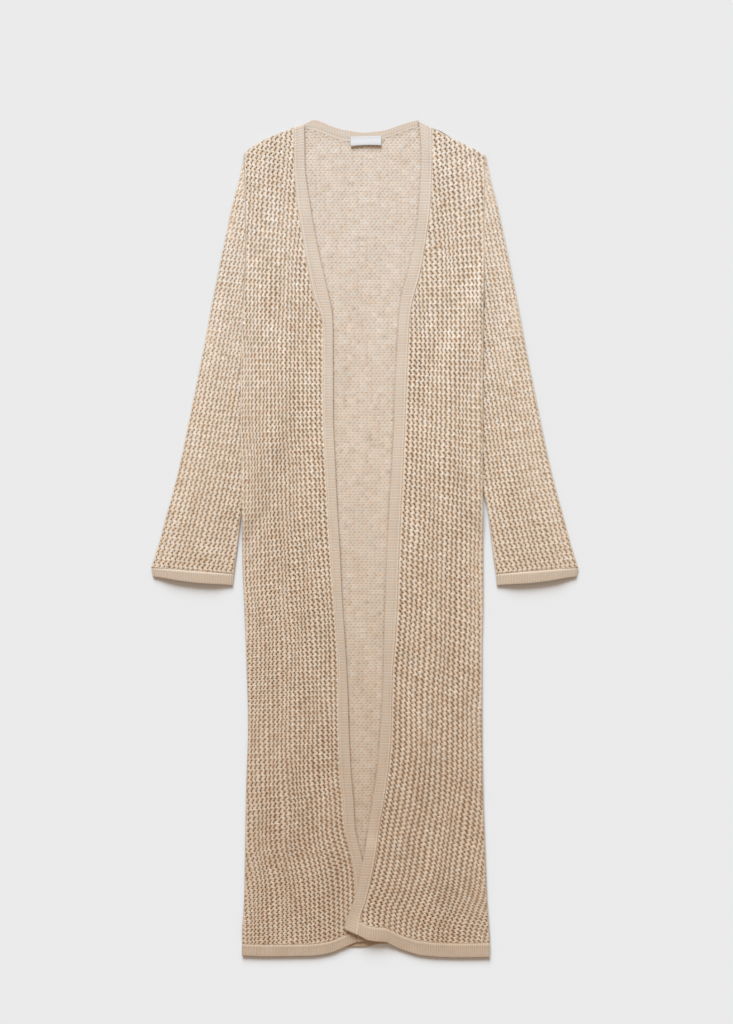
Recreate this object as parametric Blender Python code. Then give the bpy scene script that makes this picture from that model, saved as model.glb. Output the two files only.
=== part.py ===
# Long open-front duster cardigan in openwork knit, laid flat on its back with the front up.
# Sizes are in millimetres, heights are measured up the garment from its lowest hem, and the
# wearer's left is at +X. The neck points to +Y and the cloth is stacked up +Z from the surface.

import math

import bpy
import numpy as np

MM = 0.001
LENGTH = 1256.0
LOWEST_HEM = 2.0
WALL = 2.0
BAND_WALL = 2.4
LABEL_WALL = 1.0
SEAM_GAP = 0.3
LAYER_GAP = 0.3
HEM_WIDTH_BACK = 19.0
HEM_WIDTH_RIGHT = 18.0
HEM_WIDTH_LEFT = 21.5
CUFF_LENGTH_OUTER = 14.0
CUFF_LENGTH_INNER = 18.0
CUFF_BULGE = 2.5
CUFF_OUTER_FLARE = -0.18
CUFF_INNER_FLARE = 0.08
NECK_BAND_GAP = 1.0
RIGHT = -1
LEFT = 1
SIDE_NAMES = {RIGHT: "right", LEFT: "left"}

FRONT_SHARES = (0, 0.11, 0.22, 0.33, 0.44, 0.55, 0.68, 0.84, 1)
SHARED_COLUMNS = 7
BACK_MIDDLE_CELLS = 10
SLEEVE_STATIONS = 25

# Where the columns of the panels meet the hem seam and the shoulder, to read their tables there.
HEM_SEAM_HEIGHT = 30.0
SHOULDER_HEIGHT = 1230.0


def table(columns, *rows):
    """A short table as one array for each named column."""
    return dict(zip(columns.split(), np.array(rows, float).T))


# The body's side edges: the armhole seams down to 994, then the side seams.
BODY_SIDES = table(
    "height right left",
    (0, -184, 188),
    (36, -184, 187),
    (88, -181, 183.5),
    (163, -179.5, 180.5),
    (253, -178, 177.5),
    (350, -175, 176),
    (463, -178, 176),
    (538, -181, 177.4),
    (598, -183.5, 177.4),
    (696, -184.5, 176.6),
    (838, -186, 176.6),
    (943, -184.5, 177.4),
    (994, -181, 178),
    (1051, -178, 178.5),
    (1120, -178.5, 179),
    (1206, -181, 180.5),
)

# The front bands: their seam to the front panel and their free edge, wearer's right then left.
FRONT_EDGE = {
    RIGHT: table(
        "height seam free",
        (25, -11.6, 8),
        (73, -12.5, 6.4),
        (118, -15, 2),
        (151, -20.5, -4),
        (168, -24.8, -8),
        (195, -30, -14),
        (238, -32.6, -16.7),
        (268, -36.2, -19.4),
        (328, -38.3, -23),
        (388, -39, -25),
        (448, -39.8, -27.7),
        (478, -41.6, -29.6),
        (538, -46, -33.7),
        (598, -50.6, -36.4),
        (688, -55.9, -41.6),
        (763, -59.6, -45),
        (808, -61.9, -47),
        (940, -62.3, -47.5),
        (965, -66, -48.5),
        (991, -76, -53),
        (1030, -84.5, -62),
        (1081, -93, -73),
        (1134, -101.5, -82),
        (1190, -105.5, -89.5),
        (1252, -106, -90.3),
    ),
    LEFT: table(
        "height seam free",
        (20, -9.6, -32.5),
        (43, -8.6, -31),
        (58, -6.8, -28),
        (70, -4, -22.9),
        (88, 2.5, -16.9),
        (108, 7.4, -10.9),
        (139, 14, -4.9),
        (168, 18.4, 1),
        (195, 22, 4.7),
        (235, 29, 11),
        (295, 37, 19.4),
        (328, 39.5, 22),
        (388, 40.9, 26.3),
        (418, 41.5, 27.2),
        (478, 46, 28.3),
        (538, 49.5, 30.4),
        (598, 51.4, 32.5),
        (688, 55.5, 37.1),
        (808, 60.8, 43.6),
        (838, 61.9, 44.3),
        (928, 65.8, 48.7),
        (970, 69, 51.4),
        (991, 73.5, 54.4),
        (1030, 84, 64.5),
        (1081, 92.5, 75),
        (1134, 98.8, 80.8),
        (1206, 101.3, 84.5),
        (1257, 101, 80.5),
    ),
}
BAND_TOP_FREE = {RIGHT: 1252.0, LEFT: 1257.5}
BAND_END_RISE = {RIGHT: 2.0, LEFT: 9.0}
BAND_END_REACH = 55.0

# The lower edges of the bottom bands, by place across the garment.
HEM_EDGE = {
    RIGHT: table(
        "across height",
        (-190, 5),
        (-150, 3.5),
        (-82, 4.4),
        (-61, 6.8),
        (-48, 10),
        (-37, 14.6),
        (-25, 19.6),
        (-15, 24),
        (-7, 26.5),
        (10, 27.5),
    ),
    LEFT: table(
        "across height",
        (-34, 44),
        (-22, 40.6),
        (-7, 34.6),
        (5, 28.8),
        (18, 26.6),
        (31, 25.6),
        (39.5, 21.5),
        (53.5, 14.6),
        (68.5, 9.5),
        (83, 5.6),
        (113, 2.8),
        (150, LOWEST_HEM),
        (190, 2.6),
    ),
}
HEM_EDGE_BACK = table(
    "across height",
    (-190, 9),
    (-60, 13),
    (-19, 18),
    (0, 18.2),
    (23, 22.5),
    (42, 23),
    (80, 16),
    (190, 9),
)

# The shoulder lines of the fronts, and the back's top edge with the neckline between them.
SHOULDER = {
    RIGHT: table(
        "across height", (-181, 1206), (-175, 1213), (-151, 1228), (-115, 1243), (-106, 1247)
    ),
    LEFT: table(
        "across height", (101, 1246.5), (105.4, 1244), (135.4, 1228), (167, 1213), (181, 1204)
    ),
}
BACK_TOP = table(
    "across height",
    (-181, 1206),
    (-175, 1213),
    (-151, 1228),
    (-115, 1242.5),
    (-104, 1245),
    (-91, 1245),
    (-77, 1242),
    (-67, 1238.7),
    (-51.5, 1232.6),
    (-31, 1226),
    (-10, 1224.5),
    (10, 1225.5),
    (25, 1229),
    (41, 1233.5),
    (51, 1237),
    (65.5, 1243),
    (79, 1246),
    (103, 1244.5),
    (135.4, 1228),
    (167, 1213),
    (181, 1204),
)
NECK_BAND_TOP = table(
    "across height",
    (-90, 1251.5),
    (-83, 1255.5),
    (-76, 1258),
    (-67, 1255.6),
    (-51.5, 1249),
    (-31, 1243),
    (0, 1239),
    (27, 1242),
    (52, 1249.9),
    (72, 1256),
    (79.5, 1257.6),
)
NECK_BAND_ENDS = (-89.6, 79.8)
NECK_BAND_COLUMNS = 22

# Sections of the sleeve, from the armhole to the cuff: where its outer and inner folds lie.
SLEEVE = table(
    "outer_x outer_height inner_x inner_height",
    (181, 1206, 181.3, 994),
    (188.5, 1170, 181.7, 991.5),
    (198.5, 1132, 182, 988),
    (207, 1093, 181.5, 983),
    (218, 1040, 179, 974),
    (229, 985, 170, 957),
    (241, 920, 150, 915),
    (252.5, 862, 134, 855),
    (266, 795, 142, 795),
    (276, 748, 158, 750),
    (286.5, 705, 173, 713),
    (298, 663, 184, 674),
    (309, 622, 190, 627),
    (320, 587, 196.5, 577.7),
)
SLEEVE_FOLDED = 4.4
SLEEVE_DOME = 3.0
SLEEVE_DOME_RAMP = 32.0
SLEEVE_DOME_START = 192.0
SLEEVE_FREE_BELOW = 690.0
ARMHOLE_FADE = 0.4
DOME_FADE = 0.25
ACROSS_SLEEVE = (0.12, 0.3, 0.5, 0.7, 0.88)
FOLD_CORNER = 1.6

# How far in from the centre line the sleeve reaches where it is tucked under the body.
TUCK = table(
    "height reach",
    (610, 225),
    (640, 205),
    (672, 185),
    (712, 174),
    (748, 158),
    (790, 143),
    (850, 134),
    (880, 139),
    (915, 149),
    (957, 168),
    (985, 177),
    (1065, 214),
    (1120, 236),
)
TUCK_LIFT = 5.2
TUCK_RAMP_START = 44.0
TUCK_RAMP = 38.0

# Rows of the body panels, closer together over the tucked sleeves. The lowest and highest rows
# slope to the hem seam and the shoulder.
ROW_RUNS = table("cells start end", (3, 0, 100), (12, 100, 600), (18, 600, 1075), (4, 1075, 1206))
SLOPES_BELOW = 100.0
SLOPES_ABOVE = 1075.0

# Soft folds of the two fronts: ridges between a low and a high end.
FOLDS = {
    RIGHT: table(
        "low_x low_height high_x high_height half_width rise",
        (-58, 20, -54, 320, 22, 4.5),
        (-128, 40, -118, 430, 34, 3.5),
        (-122, 540, -128, 930, 42, 2.5),
    ),
    LEFT: table(
        "low_x low_height high_x high_height half_width rise",
        (92, 160, 80, 440, 34, 4.5),
        (108, 0, 118, 230, 30, 3.5),
        (116, 500, 122, 900, 40, 2.5),
    ),
}

# The left front lies over the right one near the hem.
OVERLAP_LIFT = 2.8
OVERLAP_TOP = 192.0
OVERLAP_RAMP = 30.0
OVERLAP_MARGIN = 18.0
CORNER_LIFT = 3.5
CORNER_HALF_WIDTH = 52.0
CORNER_TOP = 72.0
CORNER_RAMP = 45.0

LABEL_LEFT_X = -21.4
LABEL_RIGHT_X = 24.8
LABEL_TOP = 1232.5
LABEL_DROP = 13.2
LABEL_TURN = math.radians(1.6)
LABEL_LIFT = 1.6
LABEL_SAG = 1.2
LABEL_CELLS = (3, 5)

KNIT = (0.59, 0.46, 0.345)
PLAIN_KNIT = (0.64, 0.525, 0.41)
LABEL_WHITE = (0.86, 0.85, 0.84)
FINISHES = {
    "knit": (KNIT, 0.9),
    "plain_knit": (PLAIN_KNIT, 0.88),
    "label": (LABEL_WHITE, 0.55),
}


def smooth_step(value):
    value = np.clip(value, 0.0, 1.0)
    return value * value * (3.0 - 2.0 * value)


def hump(value):
    return np.clip(1.0 - value * value, 0.0, 1.0) ** 2


def read(rows, column, at, by="height"):
    """A smooth curve through one column of a table that never swings past its points."""
    xs, ys = rows[by], rows[column]
    at = np.clip(at, xs[0], xs[-1])
    step = np.diff(xs)
    slope = np.diff(ys) / step
    before, after = slope[:-1], slope[1:]
    same_way = before * after > 0
    total = np.where(same_way, before + after, 1.0)
    inner = np.where(same_way, 2 * before * after / total, 0.0)
    tangent = np.concatenate([slope[:1], inner, slope[-1:]])
    i = np.clip(np.searchsorted(xs, at, side="right") - 1, 0, len(step) - 1)
    t = (at - xs[i]) / step[i]
    start, end = ys[i], ys[i + 1]
    pull_start, pull_end = tangent[i] * step[i], tangent[i + 1] * step[i]
    return (
        start * (2 * t**3 - 3 * t**2 + 1)
        + end * (3 * t**2 - 2 * t**3)
        + pull_start * (t**3 - 2 * t**2 + t)
        + pull_end * (t**3 - t**2)
    )


def blend(start, end, share):
    return start + (end - start) * share


def tuck_share(x, height):
    """1 where the tucked sleeve lies under the body, 0 clear of it."""
    reach = read(TUCK, "reach", height)
    return smooth_step((np.abs(x) - reach + TUCK_RAMP_START) / TUCK_RAMP)


def back_level(x, height):
    return TUCK_LIFT * tuck_share(x, height)


def fold_rise(side, x, height):
    """The soft ridges of a front: a hump across each fold that dies away at both its ends."""
    rise = np.zeros_like(x)
    for low_x, low_height, high_x, high_height, half_width, top in zip(*FOLDS[side].values()):
        along = (height - low_height) / (high_height - low_height)
        middle = blend(low_x, high_x, along)
        rise += top * hump((x - middle) / half_width) * hump(2 * along - 1)
    return rise


def overlap_rise(x, height):
    """The left front's climb over the right front's band, and its lifted bottom corner."""
    covered = read(FRONT_EDGE[RIGHT], "free", height) + OVERLAP_MARGIN
    across = smooth_step((covered + OVERLAP_RAMP - x) / OVERLAP_RAMP)
    down = smooth_step((OVERLAP_TOP - height) / OVERLAP_RAMP)
    corner = hump(x / CORNER_HALF_WIDTH) * smooth_step((CORNER_TOP - height) / CORNER_RAMP)
    return OVERLAP_LIFT * across * down + CORNER_LIFT * corner


def front_level(side, x, height):
    level = back_level(x, height) + WALL + LAYER_GAP + fold_rise(side, x, height)
    if side == LEFT:
        level = level + overlap_rise(x, height)
    return level


def add_mesh(name, finish, points, faces):
    """Makes one named object of a closed set of faces, turned to face outwards."""
    points = np.array(points, float)
    points[:, 1] -= LENGTH / 2 + LOWEST_HEM
    if np.linalg.det(points[np.array(faces)]).sum() < 0:
        faces = [face[::-1] for face in faces]
    mesh = bpy.data.meshes.new(name)
    mesh.from_pydata((points * MM).tolist(), [], faces)
    mesh.validate()
    mesh.shade_smooth()
    mesh.set_sharp_from_angle(angle=math.radians(40))
    colour, roughness = FINISHES[finish]
    material = bpy.data.materials.new(name)
    material.use_nodes = True
    shader = material.node_tree.nodes["Principled BSDF"]
    shader.inputs["Base Color"].default_value = (*colour, 1.0)
    shader.inputs["Roughness"].default_value = roughness
    shader.inputs["Metallic"].default_value = 0.0
    mesh.materials.append(material)
    made = bpy.data.objects.new(name, mesh)
    bpy.context.scene.collection.objects.link(made)
    return made


def add_wall(name, finish, plan, level, thickness):
    """A cloth wall over a grid of plan points, with its underside at the given level."""
    if plan[0, 0, 0] > plan[0, -1, 0]:
        plan, level = plan[:, ::-1], level[:, ::-1]
    rows, columns = level.shape
    under = np.dstack([plan, level])
    over = np.dstack([plan, level + thickness])
    points = np.concatenate([under.reshape(-1, 3), over.reshape(-1, 3)])
    index = np.arange(rows * columns).reshape(rows, columns)
    shift = rows * columns
    faces = []
    for i in range(rows - 1):
        for j in range(columns - 1):
            a, b, c, d = index[i, j], index[i, j + 1], index[i + 1, j + 1], index[i + 1, j]
            faces += [(a, c, b), (a, d, c)]
            faces += [(a + shift, b + shift, c + shift), (a + shift, c + shift, d + shift)]
    rim = [*index[0, :], *index[1:, -1], *index[-1, -2::-1], *index[-2:0:-1, 0]]
    for start, end in zip(rim, rim[1:] + rim[:1]):
        faces += [(start, end, end + shift), (start, end + shift, start + shift)]
    return add_mesh(name, finish, points, faces)


def add_tube(name, finish, outer, inner):
    """A wall that closes round: rings of outer and inner points, open at both ends."""
    stations, around = outer.shape[:2]
    points = np.concatenate([outer.reshape(-1, 3), inner.reshape(-1, 3)])
    index = np.arange(stations * around).reshape(stations, around)
    shift = stations * around
    faces = []
    for i in range(stations - 1):
        for j in range(around):
            k = (j + 1) % around
            a, b, c, d = index[i, j], index[i, k], index[i + 1, k], index[i + 1, j]
            faces += [(a, b, c), (a, c, d)]
            faces += [(a + shift, c + shift, b + shift), (a + shift, d + shift, c + shift)]
    for j in range(around):
        k = (j + 1) % around
        for a, b in ((index[0, k], index[0, j]), (index[-1, j], index[-1, k])):
            faces += [(a, b, b + shift), (a, b + shift, a + shift)]
    return add_mesh(name, finish, points, faces)


def row_heights(bottom, top):
    """Heights of the body's rows: level over most of the length, sloping to each column's ends."""
    runs = [
        np.linspace(start, end, int(cells), endpoint=False)
        for cells, start, end in zip(*ROW_RUNS.values())
    ]
    last = ROW_RUNS["end"][-1]
    level = np.concatenate([*runs, [last]])[:, None]
    low = bottom + (SLOPES_BELOW - bottom) * level / SLOPES_BELOW
    high = SLOPES_ABOVE + (top - SLOPES_ABOVE) * (level - SLOPES_ABOVE) / (last - SLOPES_ABOVE)
    level = level + 0 * bottom
    return np.where(level < SLOPES_BELOW, low, np.where(level > SLOPES_ABOVE, high, level))


def front_across(side, height, share):
    return blend(
        read(BODY_SIDES, SIDE_NAMES[side], height), read(FRONT_EDGE[side], "seam", height), share
    )


def front_plan(side):
    """The front panel's plan: rows from the hem seam to the shoulder, columns from the side in."""
    hem_width = HEM_WIDTH_RIGHT if side == RIGHT else HEM_WIDTH_LEFT
    share = np.array(FRONT_SHARES)
    bottom_x = front_across(side, HEM_SEAM_HEIGHT, share)
    bottom = read(HEM_EDGE[side], "height", bottom_x, by="across") + hem_width
    top_x = front_across(side, SHOULDER_HEIGHT, share)
    top = read(SHOULDER[side], "height", top_x, by="across")
    height = row_heights(bottom, top)
    return np.dstack([front_across(side, height, share), height])


def hem_plan(seam_row, edge, rows=3):
    """A bottom band's plan, hung from the panel's lowest row."""
    top = seam_row - [0, SEAM_GAP]
    bottom = np.column_stack([seam_row[:, 0], read(edge, "height", seam_row[:, 0], by="across")])
    share = np.linspace(0, 1, rows)[:, None, None]
    return blend(bottom, top, share)


def band_plan(side, panel, hem, columns=3):
    """A front band's plan, from the hem's free end up the panel's inner edge."""
    seam = np.concatenate([hem[:-1, -1], panel[:, -1]])
    inward = -side * SEAM_GAP
    seam = seam + [inward, 0]
    height = seam[:, 1]
    top_rise = (BAND_TOP_FREE[side] - height[-1]) * smooth_step(
        1 - (height[-1] - height) / BAND_END_REACH
    )
    end_rise = BAND_END_RISE[side] * smooth_step(1 - (height - height[0]) / BAND_END_REACH)
    free_height = height + top_rise + end_rise
    free = np.column_stack([read(FRONT_EDGE[side], "free", free_height), free_height])
    share = np.linspace(0, 1, columns)[None, :, None]
    return blend(seam[:, None], free[:, None], share)


def add_front(side):
    name = SIDE_NAMES[side]
    panel = front_plan(side)
    hem = hem_plan(panel[0], HEM_EDGE[side])
    band = band_plan(side, panel, hem)
    pieces = (
        ("front_" + name, "knit", panel, WALL),
        ("hem_front_" + name, "plain_knit", hem, WALL),
        ("band_front_" + name, "plain_knit", band, BAND_WALL),
    )
    for piece, finish, plan, thickness in pieces:
        level = front_level(side, plan[..., 0], plan[..., 1])
        add_wall(piece, finish, plan, level, thickness)


def back_across(height):
    """The back's columns: the fronts' outer columns at both sides, evenly spaced ones between."""
    share = np.array(FRONT_SHARES[:SHARED_COLUMNS])
    right = front_across(RIGHT, height[:, :SHARED_COLUMNS], share)
    left = front_across(LEFT, height[:, -SHARED_COLUMNS:], share[::-1])
    between = np.linspace(0, 1, BACK_MIDDLE_CELLS + 1)[1:-1]
    middle = blend(right[:, -1:], left[:, :1], between)
    return np.hstack([right, middle, left])


def add_back():
    columns = 2 * SHARED_COLUMNS + BACK_MIDDLE_CELLS - 1
    bottom_x = back_across(np.full((1, columns), HEM_SEAM_HEIGHT))
    top_x = back_across(np.full((1, columns), SHOULDER_HEIGHT))
    bottom = read(HEM_EDGE_BACK, "height", bottom_x, by="across") + HEM_WIDTH_BACK
    top = read(BACK_TOP, "height", top_x, by="across")
    height = row_heights(bottom, top)
    panel = np.dstack([back_across(height), height])
    hem = hem_plan(panel[0], HEM_EDGE_BACK)
    for piece, finish, plan in (("back_panel", "knit", panel), ("hem_back", "plain_knit", hem)):
        add_wall(piece, finish, plan, back_level(plan[..., 0], plan[..., 1]), WALL)


def add_neck_band():
    x = np.linspace(*NECK_BAND_ENDS, NECK_BAND_COLUMNS)
    low = read(BACK_TOP, "height", x, by="across") + NECK_BAND_GAP
    high = read(NECK_BAND_TOP, "height", x, by="across")
    share = np.linspace(0, 1, 3)[:, None, None]
    plan = blend(np.column_stack([x, low]), np.column_stack([x, high]), share)
    add_wall("band_neck", "plain_knit", plan, np.zeros(plan.shape[:2]), BAND_WALL)


def add_label():
    """The blank label, sewn on at its top edge, its lower edge standing a little off the back."""
    cells_down, cells_across = LABEL_CELLS
    share = np.linspace(0, 1, cells_across + 1)[None, :]
    drop = np.linspace(1, 0, cells_down + 1)[:, None]
    x = blend(LABEL_LEFT_X, LABEL_RIGHT_X, share) + 0 * drop
    sag = LABEL_SAG * (2 * share - 1) ** 2 * drop
    height = LABEL_TOP - LABEL_DROP * drop - sag + (x - LABEL_LEFT_X) * math.tan(LABEL_TURN)
    level = BAND_WALL + LAYER_GAP + LABEL_LIFT * drop + 0 * share
    add_wall("neck_label", "label", np.dstack([x, height]), level, LABEL_WALL)


def sleeve_ring(outer_fold, inner_fold, dome_share):
    """One section of the flattened sleeve: an outer and an inner ring of points."""
    width = np.linalg.norm(inner_fold - outer_fold)
    heading = (inner_fold - outer_fold) / width
    across = np.array([FOLD_CORNER, *(np.array(ACROSS_SLEEVE) * width), width - FOLD_CORNER])
    inset = np.array([WALL + FOLD_CORNER, *across[1:-1], width - WALL - FOLD_CORNER])
    rings = []
    for inner, spots in ((False, across), (True, inset)):
        ends = (WALL, width - WALL) if inner else (0, width)
        plan = outer_fold + np.multiply.outer(spots, heading)
        x, height = plan.T
        from_body = x - SLEEVE_DOME_START + np.maximum(0, SLEEVE_FREE_BELOW - height)
        room = np.minimum(np.minimum(spots, width - spots), from_body) / SLEEVE_DOME_RAMP
        over = SLEEVE_FOLDED + SLEEVE_DOME * smooth_step(room) * dome_share
        under = np.zeros_like(over)
        if inner:
            over, under = over - WALL, under + WALL
        first, last = (outer_fold + heading * end for end in ends)
        middle = SLEEVE_FOLDED / 2
        ring = [(*first, middle)]
        ring += [(px, ph, z) for (px, ph), z in zip(plan, under)]
        ring += [(*last, middle)]
        ring += [(px, ph, z) for (px, ph), z in zip(plan[::-1], over[::-1])]
        rings.append(ring)
    return rings


def sleeve_folds():
    """The outer and inner fold lines of the sleeve, read at even steps along the table."""
    rows = len(SLEEVE["outer_x"])
    steps = dict(SLEEVE, step=np.arange(rows, dtype=float))
    at = np.linspace(0, rows - 1, SLEEVE_STATIONS)
    outer = np.column_stack([read(steps, key, at, by="step") for key in ("outer_x", "outer_height")])
    inner = np.column_stack([read(steps, key, at, by="step") for key in ("inner_x", "inner_height")])
    return outer, inner


def add_sleeve(side):
    name = SIDE_NAMES[side]
    outer_folds, inner_folds = sleeve_folds()
    along = np.linspace(0, 1, SLEEVE_STATIONS)
    dome = smooth_step(along / DOME_FADE)
    rings = np.array(
        [sleeve_ring(o, i, share) for o, i, share in zip(outer_folds, inner_folds, dome)]
    )
    armhole = np.abs(read(BODY_SIDES, name, rings[0, :, :, 1])) + SEAM_GAP
    shift = armhole - rings[0, :, :, 0]
    rings[..., 0] += shift * smooth_step(1 - along / ARMHOLE_FADE)[:, None, None]
    rings[..., 0] *= side
    add_tube("sleeve_" + name, "knit", rings[:, 0], rings[:, 1])

    outer_end, inner_end = outer_folds[-1], inner_folds[-1]
    stations = []
    for share in (0, 0.5, 1):
        outer_drop = blend(SEAM_GAP, CUFF_LENGTH_OUTER, share)
        inner_drop = blend(SEAM_GAP, CUFF_LENGTH_INNER, share)
        outer_fold = outer_end + [CUFF_OUTER_FLARE * outer_drop, -outer_drop]
        inner_fold = inner_end + [CUFF_INNER_FLARE * inner_drop, -inner_drop]
        ring = np.array(sleeve_ring(outer_fold, inner_fold, 1.0))
        place = (ring[..., 0] - inner_fold[0]) / (outer_fold[0] - inner_fold[0])
        ring[..., 1] -= CUFF_BULGE * share * hump(2 * place - 1)
        ring[..., 0] *= side
        stations.append(ring)
    stations = np.array(stations)
    add_tube("cuff_" + name, "plain_knit", stations[:, 0], stations[:, 1])


def build_cardigan():
    for old in list(bpy.data.objects):
        bpy.data.objects.remove(old)
    add_back()
    add_neck_band()
    add_label()
    for side in (RIGHT, LEFT):
        add_front(side)
        add_sleeve(side)


build_cardigan()
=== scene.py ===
import math

import bpy
import numpy as np
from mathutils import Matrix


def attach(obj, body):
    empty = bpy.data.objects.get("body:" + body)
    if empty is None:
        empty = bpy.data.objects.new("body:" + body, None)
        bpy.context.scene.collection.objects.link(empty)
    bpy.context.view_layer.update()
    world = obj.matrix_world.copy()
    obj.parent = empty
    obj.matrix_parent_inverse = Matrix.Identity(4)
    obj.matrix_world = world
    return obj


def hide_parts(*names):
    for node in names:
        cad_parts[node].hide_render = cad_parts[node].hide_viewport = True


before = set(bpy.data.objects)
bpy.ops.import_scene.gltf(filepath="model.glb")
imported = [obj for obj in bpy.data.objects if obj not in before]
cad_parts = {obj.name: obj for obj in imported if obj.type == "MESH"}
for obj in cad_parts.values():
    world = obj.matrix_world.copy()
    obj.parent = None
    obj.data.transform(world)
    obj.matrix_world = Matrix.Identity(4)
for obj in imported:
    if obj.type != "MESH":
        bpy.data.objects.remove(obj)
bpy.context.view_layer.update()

# Looks of a long open-front knit cardigan that lies flat on its back. Sizes are in millimetres
# here, x runs to the wearer's left and h up the garment from its lowest hem. Shapes are worked
# out on grids in x, h and z, and turned into the frame's metres when a mesh is made.

mm = 0.001
middleHeight = 630.0   # the h of the frame's origin
right, left = -1, 1
sideNames = {right: "right", left: "left"}


def table(columns, *rows):
    # one array for each named column
    return dict(zip(columns.split(), np.array(rows, float).T))


# the garment's own shape, the same as its solids
cloth = {
    "wall": 2.0,          # knit
    "bandWall": 2.4,      # bands round the opening
    "layerGap": 0.3,      # between cloths that lie on each other
    "bodySides": table("h right left",
        (0, -184, 188), (36, -184, 187), (88, -181, 183.5), (163, -179.5, 180.5),
        (253, -178, 177.5), (350, -175, 176), (463, -178, 176), (538, -181, 177.4),
        (598, -183.5, 177.4), (696, -184.5, 176.6), (838, -186, 176.6), (943, -184.5, 177.4),
        (994, -181, 178), (1051, -178, 178.5), (1120, -178.5, 179), (1206, -181, 180.5)),
    "frontEdge": {
        right: table("h seam free",
            (25, -11.6, 8), (73, -12.5, 6.4), (118, -15, 2), (151, -20.5, -4), (168, -24.8, -8),
            (195, -30, -14), (238, -32.6, -16.7), (268, -36.2, -19.4), (328, -38.3, -23),
            (388, -39, -25), (448, -39.8, -27.7), (478, -41.6, -29.6), (538, -46, -33.7),
            (598, -50.6, -36.4), (688, -55.9, -41.6), (763, -59.6, -45), (808, -61.9, -47),
            (940, -62.3, -47.5), (965, -66, -48.5), (991, -76, -53), (1030, -84.5, -62),
            (1081, -93, -73), (1134, -101.5, -82), (1190, -105.5, -89.5), (1252, -106, -90.3)),
        left: table("h seam free",
            (20, -9.6, -32.5), (43, -8.6, -31), (58, -6.8, -28), (70, -4, -22.9),
            (88, 2.5, -16.9), (108, 7.4, -10.9), (139, 14, -4.9), (168, 18.4, 1),
            (195, 22, 4.7), (235, 29, 11), (295, 37, 19.4), (328, 39.5, 22), (388, 40.9, 26.3),
            (418, 41.5, 27.2), (478, 46, 28.3), (538, 49.5, 30.4), (598, 51.4, 32.5),
            (688, 55.5, 37.1), (808, 60.8, 43.6), (838, 61.9, 44.3), (928, 65.8, 48.7),
            (970, 69, 51.4), (991, 73.5, 54.4), (1030, 84, 64.5), (1081, 92.5, 75),
            (1134, 98.8, 80.8), (1206, 101.3, 84.5), (1257, 101, 80.5)),
    },
    "hemEdge": {
        right: table("x h",
            (-190, 5), (-150, 3.5), (-82, 4.4), (-61, 6.8), (-48, 10), (-37, 14.6), (-25, 19.6),
            (-15, 24), (-7, 26.5), (10, 27.5)),
        left: table("x h",
            (-34, 44), (-22, 40.6), (-7, 34.6), (5, 28.8), (18, 26.6), (31, 25.6), (39.5, 21.5),
            (53.5, 14.6), (68.5, 9.5), (83, 5.6), (113, 2.8), (150, 2), (190, 2.6)),
    },
    "hemEdgeBack": table("x h",
        (-190, 9), (-60, 13), (-19, 18), (0, 18.2), (23, 22.5), (42, 23), (80, 16), (190, 9)),
    "hemWidth": {right: 18.0, left: 21.5},
    "hemWidthBack": 19.0,
    "shoulder": {
        right: table("x h", (-181, 1206), (-175, 1213), (-151, 1228), (-115, 1243), (-106, 1247)),
        left: table("x h", (101, 1246.5), (105.4, 1244), (135.4, 1228), (167, 1213), (181, 1204)),
    },
    "backTop": table("x h",
        (-181, 1206), (-175, 1213), (-151, 1228), (-115, 1242.5), (-104, 1245), (-91, 1245),
        (-77, 1242), (-67, 1238.7), (-51.5, 1232.6), (-31, 1226), (-10, 1224.5), (10, 1225.5),
        (25, 1229), (41, 1233.5), (51, 1237), (65.5, 1243), (79, 1246), (103, 1244.5),
        (135.4, 1228), (167, 1213), (181, 1204)),
    "neckBandTop": table("x h",
        (-90, 1251.5), (-83, 1255.5), (-76, 1258), (-67, 1255.6), (-51.5, 1249), (-31, 1243),
        (0, 1239), (27, 1242), (52, 1249.9), (72, 1256), (79.5, 1257.6)),
    "sleeveOuter": table("h x",
        (587, 320), (622, 309), (663, 298), (705, 286.5), (748, 276), (795, 266), (862, 252.5),
        (920, 241), (985, 229), (1040, 218), (1093, 207), (1132, 198.5), (1170, 188.5),
        (1206, 181)),
    "sleeveInner": table("h x",
        (577, 196.5), (627, 190), (674, 184), (713, 173), (750, 158), (795, 142), (855, 134),
        (915, 150), (957, 170), (974, 179), (983, 181), (1206, 181)),
    "tuck": table("h reach",
        (610, 225), (640, 205), (672, 185), (712, 174), (748, 158), (790, 143), (850, 134),
        (880, 139), (915, 149), (957, 168), (985, 177), (1065, 214), (1120, 236)),
    "folds": {
        right: table("lowX lowH highX highH halfWidth rise",
            (-58, 20, -54, 320, 22, 4.5), (-128, 40, -118, 430, 34, 3.5),
            (-122, 540, -128, 930, 42, 2.5)),
        left: table("lowX lowH highX highH halfWidth rise",
            (92, 160, 80, 440, 34, 4.5), (108, 0, 118, 230, 30, 3.5),
            (116, 500, 122, 900, 40, 2.5)),
    },
}


def smoothStep(value):
    # three times the square less twice the cube, from 0 to 1
    value = np.clip(value, 0.0, 1.0)
    return value * value * (3.0 - 2.0 * value)


def hump(value):
    # 1 at 0 and falling to 0 at -1 and 1: the square of one less the square
    return np.clip(1.0 - value * value, 0.0, 1.0) ** 2


def blend(start, end, share):
    # a straight mix of start and end
    return start + (end - start) * share


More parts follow.
